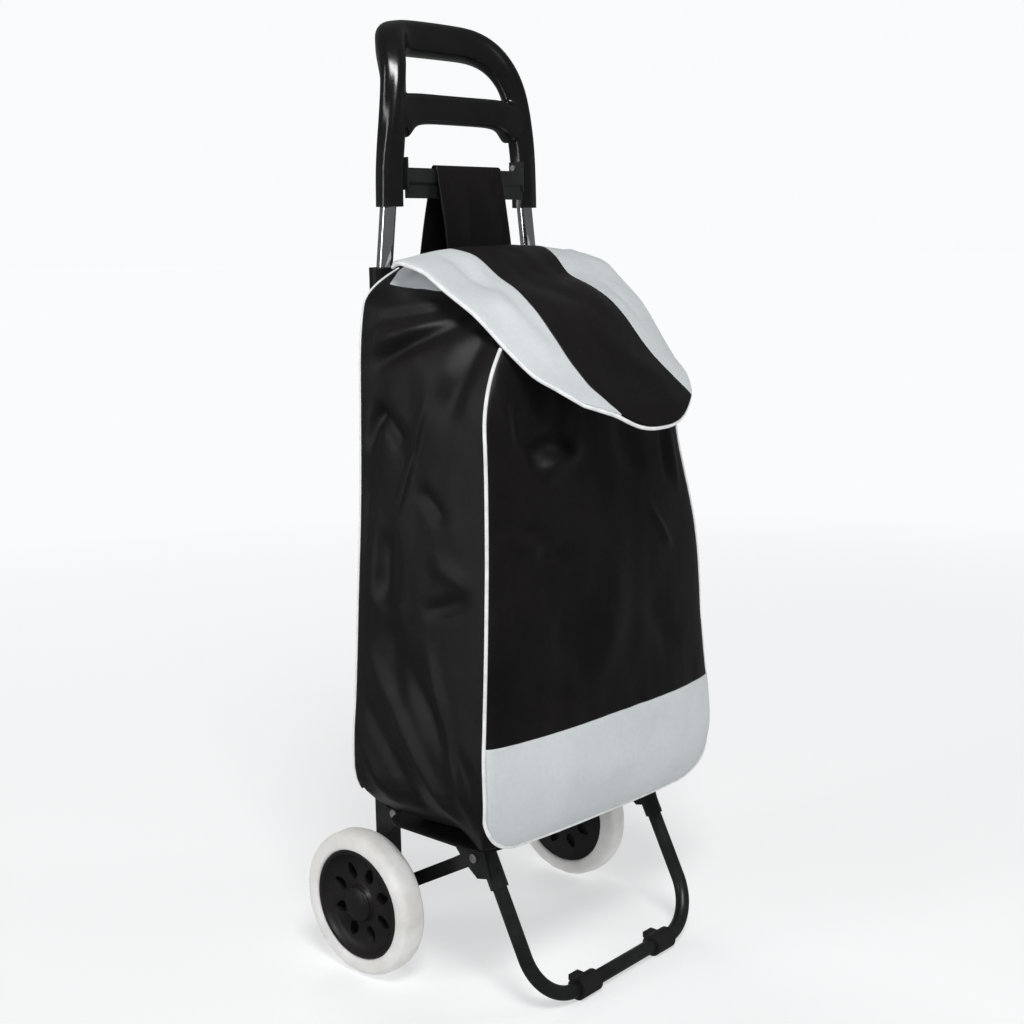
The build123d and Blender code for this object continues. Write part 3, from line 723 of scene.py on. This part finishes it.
def leafCutter(middle, side):
    # one tall leaf for each hole, round the axle
    bm = bmesh.new()
    span = (wheel["holeFar"] - wheel["holeNear"]) / 2
    for n in range(wheel["holes"]):
        ring = bmesh.ops.create_circle(bm, cap_ends=True, segments=28, radius=1)["verts"]
        for vert in ring:
            # widest towards the hub, pointed at the rim
            t = vert.co.x
            pinch = wheel["holeHalf"] * (1 - 0.28 * t) * (1 - 0.3 * t**4)
            vert.co = (vert.co.y * pinch * mm, t * span * mm, 0)
        bmesh.ops.translate(bm, vec=(0, (wheel["holeNear"] + span) * mm, -0.02), verts=ring)
        face = ring[0].link_faces[0]
        tall = bmesh.ops.extrude_face_region(bm, geom=[face])["geom"]
        topVerts = [v for v in tall if isinstance(v, bmesh.types.BMVert)]
        bmesh.ops.translate(bm, vec=(0, 0, 0.04), verts=topVerts)
        bmesh.ops.rotate(bm, cent=(0, 0, 0), verts=ring + topVerts, matrix=Matrix.Rotation(
            (n + 0.5) * 2 * math.pi / wheel["holes"], 3, "Z"))
    onEdge = Matrix.Rotation(math.pi / 2, 3, "Y")
    bmesh.ops.rotate(bm, cent=(0, 0, 0), verts=bm.verts, matrix=onEdge)
    bmesh.ops.translate(bm, vec=(middle, axleY, axleZ), verts=bm.verts)
    bmesh.ops.recalc_face_normals(bm, faces=bm.faces)
    return linkMesh("leafCutter", bm, finishes["hub_plastic"])


def smoothToAngle(piece, degrees):
    bm = bmesh.new()
    bm.from_mesh(piece.data)
    for edge in bm.edges:
        edge.smooth = edge.is_manifold and edge.calc_face_angle(0.0) < math.radians(degrees)
    for face in bm.faces:
        face.smooth = True
    bm.to_mesh(piece.data)
    bm.free()


for sideName, side in (("left", -1), ("right", 1)):
    low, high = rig.box(f"wheel_{sideName}_tyre")
    middle = (low.x + high.x) / 2
    title = sideName.title()
    tyre = turned("tyre" + title, wheel["tyre"], middle, side, finishes["tyre_foam"], True,
                  wheel["tyreSteps"])
    for vert in tyre.data.vertices:  # the foam's uneven tread
        out = Vector((0, vert.co.y - axleY, vert.co.z - axleZ))
        share = max(0.0, (out.length / mm - 64) / 11)
        lump = min(0.0, noise.noise(vert.co / (wheel["lumpSize"] * mm)) - 0.35)
        vert.co += out.normalized() * (wheel["lumps"] * mm * share * lump)
    rounder = tyre.modifiers.new("rounder", "SUBSURF")
    rounder.levels = rounder.render_levels = 1
    settle(tyre, "wheel_" + sideName, "tyre_foam", f"wheel_{sideName}_tyre")
    rim = turned("wheelRim" + title, wheel["dish"], middle, side, finishes["hub_plastic"], True,
                 wheel["rimSteps"])
    cutter = leafCutter(middle, side)
    bite = rim.modifiers.new("leafHoles", "BOOLEAN")
    bite.operation = "DIFFERENCE"
    bite.object = cutter
    ease = rim.modifiers.new("ease", "BEVEL")
    ease.width = wheel["rimEase"] * mm
    ease.segments = 2
    ease.limit_method = "ANGLE"
    ease.angle_limit = math.radians(38)
    finished(rim)
    bpy.data.objects.remove(cutter)
    smoothToAngle(rim, 32)
    settle(rim, "wheel_" + sideName, "hub_plastic", f"wheel_{sideName}_rim")
    cap = turned("wheelCap" + title, wheel["cap"], middle, side, finishes["hub_plastic"], False,
                 wheel["capSteps"])
    rounder = cap.modifiers.new("rounder", "SUBSURF")
    rounder.levels = rounder.render_levels = 1
    settle(cap, "wheel_" + sideName, "hub_plastic", f"wheel_{sideName}_cap")
print("wheels are turned")

bag = {
    # height: half width, distance to the front seams, distance to the middle of the front
    "half": [(164, 170), (180, 177), (200, 181), (225, 183), (260, 182), (290, 178.5),
             (340, 173.5), (400, 168), (460, 162), (520, 157.5), (580, 155), (640, 152),
             (680, 145), (712, 132)],
    "seamFront": [(164, 168), (180, 176), (200, 181), (225, 184), (290, 181), (400, 177),
                  (487, 172), (580, 167), (640, 163), (712, 160)],
    "midFront": [(164, 181), (180, 192), (200, 199), (225, 203), (290, 200), (400, 193),
                 (487, 186), (580, 178), (640, 173), (712, 168)],
    "back": 9.8, "wall": 1.5, "low": 167.5, "tilt": 4.5, "bandTop": 275.0, "lowCorner": 36.0,
    "faceHalf": 172,  # half way round the front's lower edge
    "mouth": 640,  # height at which the mouth's edge is measured off
    "rearLow": 201, "rearHigh": 709, "lip": 0.04,  # the back panel, and its lip's share of it
    # distance forward: height of the mouth's edge, and how far that edge is drawn in
    "hem": [(9, 709), (25, 706), (45, 702), (72, 694), (110, 671), (140, 652), (164, 636),
            (180, 628), (210, 620)],
    "drawnIn": [(9, 34), (25, 36), (45, 40), (72, 46), (110, 45), (140, 38), (164, 31)],
    "drawnDepth": [(9, 32), (30, 38), (60, 60), (90, 70), (164, 70)], "drawnBack": 5.0,
    # height: how far the right of the front falls in under the flap
    "fallsIn": [(340, 0), (400, -4), (440, -4), (470, 0), (500, 6), (525, 11), (560, 15),
                (600, 17), (712, 17)],
    # height: how far the side walls turn in above the platform
    "tuck": [(171.5, 40), (175, 30), (182, 20), (190, 12), (200, 6), (212, 2), (225, 0)],
    "turnUp": [(9, 222), (13, 208), (24, 192), (36, 181.5), (60, 172.5), (140, 171.5), (166, 170)],
}
crumple = {"broad": 2.8, "fine": 1.1, "folds": 1.35}
# folds on a side wall: from (forward, height), to (forward, height), width, height out
sideFolds = [
    ((42, 675), (136, 689), 11, 4.5), ((34, 662), (136, 677), 7, -4.0),
    ((21, 638), (115, 664), 11, 5.0), ((34, 621), (136, 671), 9, -7.0),
    ((38, 580), (72, 546), 9, -5.5), ((38, 583), (22, 538), 9, -5.5),
    ((99, 587), (85, 543), 4, 2.2), ((85, 543), (62, 474), 4, 2.4),
    ((145, 656), (125, 576), 14, -6.0), ((92, 507), (124, 479), 8, -4.5),
    ((49, 462), (51, 395), 15, -5.5), ((112, 442), (160, 420), 9, 3.2),
    ((105, 393), (157, 410), 8, -3.4), ((23, 509), (19, 430), 7, -3.2),
    ((60, 380), (66, 300), 16, -3.2), ((40, 330), (150, 190), 9, 3.4),
    ((30, 290), (120, 185), 10, -3.6), ((80, 340), (165, 240), 12, -3.0),
    ((110, 350), (168, 200), 8, 3.0), ((18, 250), (70, 190), 12, 3.0),
]
# folds on the front wall: from (x, height), to (x, height), width, height out
frontFolds = [
    ((-134, 627), (-127, 556), 9, 4.5), ((-116, 590), (-108, 540), 9, -5.0),
    ((-107, 536), (-64, 550), 10, -6.0), ((-88, 522), (-32, 538), 10, 5.5),
    ((-150, 478), (-95, 468), 6, -3.0), ((-150, 462), (-100, 452), 7, 2.6),
    ((-100, 446), (-60, 440), 8, -3.4), ((18, 430), (-22, 320), 22, 3.6),
    ((67, 470), (101, 425), 5, 2.6), ((118, 545), (128, 480), 6, 3.2),
    ((104, 550), (110, 490), 7, -3.2), ((30, 560), (58, 505), 14, -4.5),
    ((58, 380), (100, 320), 18, -3.0), ((-90, 380), (-40, 320), 16, -2.5),
    ((-140, 330), (-60, 300), 9, -2.2), ((40, 250), (140, 215), 16, -1.6),
    ((-100, 240), (20, 215), 18, 1.6),
]


def foldHeight(folds, a, z):
    total = 0.0
    for start, end, width, height in folds:
        dx, dz = end[0] - start[0], end[1] - start[1]
        length = math.hypot(dx, dz)
        t = ((a - start[0]) * dx + (z - start[1]) * dz) / length**2
        if -0.5 < t < 1.5:
            off = ((a - start[0]) * dz - (z - start[1]) * dx) / length
            taper = math.exp(-((2 * t - 1) ** 4) * 1.2)
            total += height * taper * math.exp(-((off / width) ** 2))
    return total * crumple["folds"]


def drape(x, forward, z, seed):
    # small natural unevenness of unpadded cloth
    where = Vector((x * 0.012, forward * 0.012, z * 0.008 + seed))
    fine = Vector((x * 0.045, forward * 0.045, z * 0.022 + seed))
    return crumple["broad"] * noise.noise(where) + crumple["fine"] * noise.noise(fine)


def gathered(x, d, z, side, atSeam):
    # the mouth is drawn in under the flap; the lower edge of a side turns in
    seamFront = track(bag["seamFront"], z)
    below = max(0.0, track(bag["hem"], min(d, 200)) - z)
    under = max(0.0, 1 - below / straight(bag["drawnDepth"], d)) ** 2
    inward = track(bag["drawnIn"], min(d, 164)) * under
    back = bag["drawnBack"] * under * min(1.0, max(0.0, (d - 90) / 70))
    clear = min(1.0, max(0.0, (seamFront - d) / 46))
    inward += straight(bag["tuck"], z) * clear**1.5 * atSeam
    return x - side * inward, d - back


def frontPoint(t, z):
    # t from -1 at the left seam to 1 at the right seam
    half, seamD = track(bag["half"], z), track(bag["seamFront"], z)
    midD = track(bag["midFront"], z)
    side = -1 if t < 0 else 1
    x = t * (half - 5)
    d = seamD + (midD - seamD) * math.sqrt(max(0.0, 1 - abs(t) ** 2.6))
    below = max(0.0, track(bag["hem"], min(d, 205)) - z)
    under = max(0.0, 1 - below / straight(bag["drawnDepth"], 164)) ** 2
    x -= max(0.0, t) ** 2 * track(bag["fallsIn"], z)
    inward = abs(t) ** 1.5 * track(bag["drawnIn"], 164) * under
    return x - side * inward, d - bag["drawnBack"] * under


def sidePoint(t, z, side):
    # t from 0 at the front seam to 1 at the rear seam
    half, seamD = track(bag["half"], z), track(bag["seamFront"], z)
    d = seamD + (bag["back"] + 2 - seamD) * t
    broader = 2 + 3.5 * straight([(300, 0.1), (520, 1.0)], z)  # towards the back
    x = side * (half - 5 + 3 * (1 - abs(2 * t - 1) ** 3) + broader * t)
    x -= max(0, side) * (1 - t) ** 1.5 * track(bag["fallsIn"], z)
    return gathered(x, d, z, side, 1.0)


def seamShare(z):
    # the lower corners of the front are round, so its seam turns in there
    dip = bag["low"] + bag["lowCorner"] - z
    if dip <= 0:
        return 1.0
    turnedIn = bag["lowCorner"] - math.sqrt(max(0.0, bag["lowCorner"]**2 - dip**2))
    return 1 - turnedIn / bag["faceHalf"]


def hang(x, z):
    # the loaded front sits a little lower on the right
    return -bag["tilt"] * x / 150 * max(0.0, 1 - max(0.0, z - bag["low"]) / 230)


def pillow(t, rate=6.0):
    # 0 at the edges of a panel, 1 inside it
    return min(1.0, rate * t, rate * (1 - t))


def frontPlace(lowZ, highZ, proud):
    def place(u, v):
        share = 2 * u - 1
        top = highZ or track(bag["hem"], frontPoint(share, bag["mouth"])[1])
        z = lowZ + (top - lowZ) * v
        t = share * seamShare(z)
        x, d = frontPoint(t, z)
        soft = pillow(u) * min(1.0, max(0.0, (z - bag["low"]) / 30))
        puff = soft * (foldHeight(frontFolds, x, z) + drape(x, d, z, 1.0)) + proud
        lean = 0.5 * t**3
        return spot(x + lean * puff, d + puff, z + hang(x, z))
    return place


def sidePuff(x, d, z, side):
    folds = foldHeight(sideFolds, d if side < 0 else 186 - d, z)
    return folds + drape(x, d, z, 3.0 if side < 0 else 9.0)


def sidePlace(side):
    def place(u, v):
        # u runs from the front seam to the rear seam, v from the bottom to the mouth
        seamD = track(bag["seamFront"], bag["mouth"])
        top = track(bag["hem"], seamD * (1 - u) + (bag["back"] + 2) * u)
        low = straight(bag["turnUp"], sidePoint(u, bag["mouth"], side)[1])
        z = low + (top - low) * v
        start = seamShare(z)
        if start < 1:  # round the lower corner of the front, onto its face
            onFront = (1 - start) * bag["faceHalf"]
            run = onFront + track(bag["seamFront"], z)
            if u * run < onFront:
                t = start + u * run / bag["faceHalf"]
                x, d = frontPoint(side * t, z)
                return spot(x, d, z + hang(x, z))
            x, d = sidePoint((u * run - onFront) / (run - onFront), z, side)
        else:
            x, d = sidePoint(u, z, side)
        puff = pillow(u) * min(1.0, max(0.0, (z - 172) / 30)) * sidePuff(x, d, z, side)
        return spot(x + side * puff, d, z + hang(x, z) * (1 - u) ** 2)
    return place


def backPlace(u, v):
    # from the turned-up bottom to the lip under the root of the flap
    share = 2 * u - 1
    side = -1 if share < 0 else 1
    lip = max(0.0, v - 1 + bag["lip"]) / bag["lip"]
    z = bag["rearLow"] + (bag["rearHigh"] - bag["rearLow"]) * min(1.0, v / (1 - bag["lip"]))
    x, d = sidePoint(1.0, z, side)
    x *= abs(share)
    flat = min(1.0, 14 * (1 - abs(share)))
    d = d + (bag["back"] - d) * flat
    inside = pillow(u) * 0.5 * max(0.0, drape(x, d, z, 21.0))
    return spot(x, d + inside + (20 - 4 * abs(share)) * lip, z + 8.0 * lip)


squashed = {"axis": (0, 1, 0), "anchor": (0, axleY - bag["back"] * mm, 0.4), "keep": 0.36}


def foldsFlat(piece):
    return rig.squash(piece, "platform_fold", axis=squashed["axis"], anchor=squashed["anchor"],
                     keep=squashed["keep"])


cuts = {  # flat width and length of each panel, in metres
    "front": (0.352, 0.365), "band": (0.352, 0.116), "side": (0.176, 0.500),
    "back": (0.330, 0.530), "collar": (0.62, 0.038), "flapCentre": (0.124, 0.300),
    "flapSide": (0.070, 0.300), "casing": (0.53, 0.026), "strap": (0.094, 0.200),
}
frontPanel = clothGrid("bagFrontPanel", 120, 130, cuts["front"],
                       frontPlace(bag["bandTop"] - 3, None, 0.0), blackCloth, bag["wall"] * mm)
settle(frontPanel, "frame", "black_fabric", "bag_front_panel")
band = clothGrid("bagFrontBand", 120, 44, cuts["band"],
                 frontPlace(bag["low"] + 0.1, bag["bandTop"], 0.9), greyCloth, bag["wall"] * mm)
settle(band, "frame", "grey_fabric", "bag_front_band")
walls = {"front": frontPanel, "band": band}
for sideName, side in (("left", -1), ("right", 1)):
    wall = clothGrid("bagSide" + sideName.title(), 90, 170, cuts["side"], sidePlace(side),
                     blackCloth, bag["wall"] * mm, flip=side < 0)
    walls[sideName] = settle(wall, "frame", "black_fabric", "bag_side_" + sideName)
backPanel = clothGrid("bagBackPanel", 90, 100, cuts["back"], backPlace, blackCloth,
                      bag["wall"] * mm, flip=True)
walls["back"] = settle(backPanel, "frame", "black_fabric", "bag_back_panel")
print("bag walls are sewn")

piping = {"radius": 1.75, "steps": 80, "proud": 0.8, "rearLow": 204.0, "rearHigh": 708.5}


def seamPoint(z, side):
    x, d = frontPoint(side * seamShare(z), z)
    return spot(x + side * piping["proud"] * 0.7, d + piping["proud"] * 0.7, z + hang(x, z))


hemZ = track(bag["hem"], frontPoint(1, bag["mouth"])[1]) - 3
roundTop = bag["low"] + bag["lowCorner"]
heights = []  # down one front seam and round its lower corner
for k in range(piping["steps"] + 1):
    heights.append(hemZ + (roundTop - hemZ) * k / piping["steps"])
for k in range(1, 21):
    heights.append(roundTop - bag["lowCorner"] * math.sin(math.radians(90 * k / 20)))
heights[-1] += 0.02
lowest, lowShare = heights[-1], seamShare(heights[-1])
seamLine = [seamPoint(z, -1) for z in heights]
for k in range(1, 30):
    x, d = frontPoint(lowShare * (-1 + 2 * k / 30), lowest)
    seamLine.append(spot(x, d + piping["proud"], lowest + hang(x, lowest)))
seamLine += [seamPoint(z, 1) for z in reversed(heights)]
bagPiping = beadAlong("bagPiping", seamLine, piping["radius"] * mm, finishes["white_piping"])
settle(bagPiping, "frame", "white_piping", "bag_piping")
rearPiping = []
for title, side in (("Left", -1), ("Right", 1)):
    rear = []
    for k in range(piping["steps"] + 1):
        z = piping["rearLow"] + (piping["rearHigh"] - piping["rearLow"]) * k / piping["steps"]
        x, d = sidePoint(1.0, z, side)
        rear.append(spot(x - side * 1.4, d - 1.6, z))
    bead = beadAlong("bagRearPiping" + title, rear, piping["radius"] * mm,
                     finishes["white_piping"])
    rearPiping.append(settle(bead, "frame", "white_piping"))
print("piping is on")

flap = {
    "mid": [(30, 718), (42, 724), (57, 727), (80, 717), (104, 698), (155, 671),
            (201, 622), (242, 581), (253, 561)],
    "edge": [(30, 125), (58, 138), (87, 135), (130, 126), (170, 114), (210, 97), (235, 74)],
    "droop": [(30, 6), (57, 12), (87, 8), (104, 7), (130, 13), (160, 24), (185, 22),
              (210, 12), (240, 8), (253, 3)],
    "seam": [(30, 72), (57, 66), (80, 58), (104, 53), (155, 59), (201, 60), (242, 63), (253, 61)],
    "shift": [(30, 5), (201, 5), (225, 3), (242, -4), (253, -9)],
    "root": 30.0, "reach": 223.0, "bow": 26.0, "thick": 2.4, "piping": 2.0,
}
flapFolds = [
    ((-96, 60), (-80, 130), 10, -3.0), ((-100, 130), (-78, 190), 9, 3.0),
    ((-70, 80), (-96, 160), 8, 2.0), ((86, 38), (104, 62), 6, -4.0),
    ((100, 34), (116, 56), 5, 3.5), ((-30, 110), (10, 150), 16, -2.5),
    ((-10, 180), (36, 225), 16, 2.5), ((40, 120), (30, 190), 12, 2.0),
    ((90, 110), (84, 180), 9, -2.0),
]


def flapPoint(share, v):
    # share runs from -1 at the left edge to 1 at the right edge, v from root to tip
    middle = flap["root"] + flap["reach"] * v
    bow = flap["bow"] * v**4
    d = middle - bow * abs(share) ** 2.6
    half = track(flap["edge"], middle - bow)
    x = share * half
    z = track(flap["mid"], d) - track(flap["droop"], d) * abs(share) ** 2.6
    soft = min(1.0, 5 * v, 6 * (1 - abs(share)), 8 * (1 - v))
    puff = soft * (foldHeight(flapFolds, x, d) + drape(x, d, 0, 5.0))
    return x, d, z + puff


def flapPlace(fromSeam, side):
    def place(u, v):
        middle = flap["root"] + flap["reach"] * v
        half = track(flap["edge"], middle - flap["bow"] * v**4)
        seam = track(flap["seam"], middle)
        shift = track(flap["shift"], middle)  # it hangs a little to the left
        leftEdge = min(0.97, (seam + shift) / half)
        rightEdge = min(0.97, (seam - shift) / half)
        edge = leftEdge if side < 0 else rightEdge
        if fromSeam:
            share = side * (edge + (1 - edge) * u)
        else:
            share = -leftEdge + (leftEdge + rightEdge) * u
        return spot(*flapPoint(share, v))
    return place


flapPieces = {}
centre = clothGrid("flapCentre", 60, 130, cuts["flapCentre"], flapPlace(False, 1), blackCloth,
                   flap["thick"] * mm)
flapPieces["centre"] = settle(centre, "flap", "black_fabric", "flap_centre")
for sideName, side in (("left", -1), ("right", 1)):
    wing = clothGrid("flapSide" + sideName.title(), 34, 130, cuts["flapSide"],
                     flapPlace(True, side), greyCloth, flap["thick"] * mm, flip=side < 0)
    flapPieces[sideName] = settle(wing, "flap", "grey_fabric", "flap_side_" + sideName)
edgeLine = [flapPoint(-1, k / 80) for k in range(81)]
edgeLine += [flapPoint(-1 + 2 * k / 30, 1) for k in range(1, 30)]
edgeLine += [flapPoint(1, k / 80) for k in range(80, -1, -1)]
flapPiping = beadAlong(
    "flapPiping", [spot(x, d, z - flap["thick"] / 2) for x, d, z in edgeLine],
    flap["piping"] * mm, finishes["white_piping"])
flapPieces["piping"] = settle(flapPiping, "flap", "white_piping", "flap_piping")
print("flap is hung")

collar = {  # reach below and above the mouth's edge, and how far inside the walls it lies
    "below": 22.0, "above": 13.0, "inset": 4.5, "waves": 150, "crumple": 9.0,
}


def collarPlace(u, v):
    # round the mouth from the right side, by the front, to the left side
    share = 3 * u
    rise = -collar["below"] + collar["below"] * v
    gather = math.sin(u * collar["waves"] + 5 * noise.noise(Vector((u * 14, 0, 4))))
    deep = max(0.0, (v - 0.5) * 2)
    pucker = 3.5 + 1.6 * gather + 3.0 * noise.noise(Vector((u * 40, v * 2, 7)))
    inset = collar["inset"] + deep * pucker
    if share < 1 or share > 2:
        side = 1 if share < 1 else -1
        t = 0.92 * (1 - share if share < 1 else share - 2)
        hem = track(bag["hem"], 163 + (bag["back"] + 2 - 163) * t)
        x, d = sidePoint(t, min(hem, hem + rise), side)
        near = max(0.0, min(1.0, (110 - d) / 40))  # only the rear half stands up under the flap
        limp = near * deep * collar["crumple"]
        rise += v * (2 + near * (collar["above"] - 2))
        rise += limp * noise.noise(Vector((u * 34, v * 1.5, 1)))
        fold = limp * noise.noise(Vector((u * 48, v * 2.5, 6)))
        hollow = max(0.0, -sidePuff(x, d, hem + rise, side))
        return spot(x - side * (inset + hollow + 2 * near + fold), d + 0.6 * fold, hem + rise)
    t = 3 - 2 * share
    hem = track(bag["hem"], frontPoint(t, bag["mouth"])[1])
    x, d = frontPoint(t, min(hem, hem + rise))
    rise += v * 2
    return spot(x * (1 - inset / 150 * abs(t) ** 3), d - inset, hem + rise)


collarPiece = clothGrid("bagCollar", 330, 16, cuts["collar"], collarPlace, greyCloth,
                        0.9 * mm, flip=True)
settle(collarPiece, "frame", "grey_fabric", "bag_collar")

boardLow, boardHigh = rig.box("bag_bottom")
board = bmesh.new()
bmesh.ops.create_cube(board, size=1)
bmesh.ops.scale(board, vec=boardHigh - boardLow, verts=board.verts)
bmesh.ops.translate(board, vec=(boardLow + boardHigh) / 2, verts=board.verts)
upright = [e for e in board.edges if abs(e.verts[0].co.z - e.verts[1].co.z) > mm]
bmesh.ops.bevel(board, geom=upright, offset=26 * mm, segments=8, profile=0.5, affect="EDGES",
                material=-1)
clothMap = board.loops.layers.uv.new("cloth")
for face in board.faces:
    for loop in face.loops:
        loop[clothMap].uv = loop.vert.co.xy
boardPiece = linkMesh("bagBottomBoard", board, blackCloth, smooth=False)
softEdge = boardPiece.modifiers.new("softEdge", "BEVEL")
softEdge.width = 0.9 * mm
softEdge.segments = 3
settle(boardPiece, "platform", "black_fabric", "bag_bottom")

casingLow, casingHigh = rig.box("tube_casing")


def casingPlace(u, v):
    # once round both tubes
    halfX = (casingHigh.x - casingLow.x) / 2 - (casingHigh.y - casingLow.y) / 2
    r = (casingHigh.y - casingLow.y) / 2 - 0.0005
    straightRun, arc = 2 * halfX, math.pi * r
    s = u * 2 * (straightRun + arc)
    y0 = (casingLow.y + casingHigh.y) / 2
    z = casingLow.z + (casingHigh.z - casingLow.z) * v
    if s < straightRun:
        x, y = -halfX + s, y0 + r
    elif s < straightRun + arc:
        turn = (s - straightRun) / r
        x, y = halfX + r * math.sin(turn), y0 + r * math.cos(turn)
    elif s < 2 * straightRun + arc:
        x, y = halfX - (s - straightRun - arc), y0 - r
    else:
        turn = (s - 2 * straightRun - arc) / r
        x, y = -halfX - r * math.sin(turn), y0 - r * math.cos(turn)
    wrinkle = 0.0008 * noise.noise(Vector((x * 60, y * 60, z * 25)))
    if y > y0:
        y += abs(wrinkle)
    return Vector((x, y, z + 0.0012 * noise.noise(Vector((x * 30, y * 30, 5)))))


casing = clothGrid("tubeCasing", 180, 14, cuts["casing"], casingPlace, blackCloth, 1.2 * mm,
                   flip=True)
settle(casing, "frame", "black_fabric", "tube_casing")

strap = {
    # forward, height: from the casing behind, over the bar, down to the flap
    "path": [(-11.4, 700), (-11.4, 714), (9.0, 803.5), (9.6, 806.2), (11.2, 807.2),
             (13.0, 806.2), (14.2, 803.0), (27.5, 717)],
    "half": 47.0, "wall": 1.5,
}


def strapPlace(u, v):
    path = strap["path"]
    lengths = [math.dist(a, b) for a, b in zip(path, path[1:])]
    s = v * sum(lengths)
    for (a, b), length in zip(zip(path, path[1:]), lengths):
        if s <= length:
            break
        s -= length
    t = min(1.0, s / length)
    d, z = a[0] + (b[0] - a[0]) * t, a[1] + (b[1] - a[1]) * t
    x = strap["half"] * (2 * u - 1)
    slack = math.sin(math.pi * t) if length > 50 else 0.0
    uneven = 2.2 * noise.noise(Vector((x * 0.03, v * 3, 2)))
    ripple = slack * (1.6 * math.sin(x * 0.075 + 1.0) + uneven)
    return spot(x, d + (abs(ripple) if v > 0.5 else -abs(ripple) * 0.6), z)


strapPiece = clothGrid("hangingStrap", 48, 120, cuts["strap"], strapPlace, blackCloth,
                       strap["wall"] * mm)
settle(strapPiece, "frame", "black_fabric", "hanging_strap")

for piece in (*walls.values(), bagPiping, *rearPiping, collarPiece, *flapPieces.values()):
    foldsFlat(piece)

for piece, flat, held, under in (
    (frontPanel, cuts["front"], "stretched", []),
    (band, cuts["band"], "stretched", []),
    (walls["left"], cuts["side"], "stretched", []),
    (walls["right"], cuts["side"], "stretched", []),
    (backPanel, cuts["back"], "stretched", []),
    (collarPiece, cuts["collar"], "gathered", []),
    (flapPieces["centre"], cuts["flapCentre"], "draped", []),
    (flapPieces["left"], cuts["flapSide"], "draped", []),
    (flapPieces["right"], cuts["flapSide"], "draped", []),
    (casing, cuts["casing"], "stretched", ["upright_tube_left", "upright_tube_right"]),
    (strapPiece, cuts["strap"], "hung", ["hanger_bar"]),
):
    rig.sheet(piece, flat=flat, held=held, rests_on=under)
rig.padded(boardPiece, fill=1.0)
print("all soft pieces are in place")

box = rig.bounds()
sizes = {"cad": [list(c) for c in cadBox], "visual": [list(c) for c in box]}
with open("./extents.json", "w") as f:
    f.write(str(sizes).replace("'", '"'))
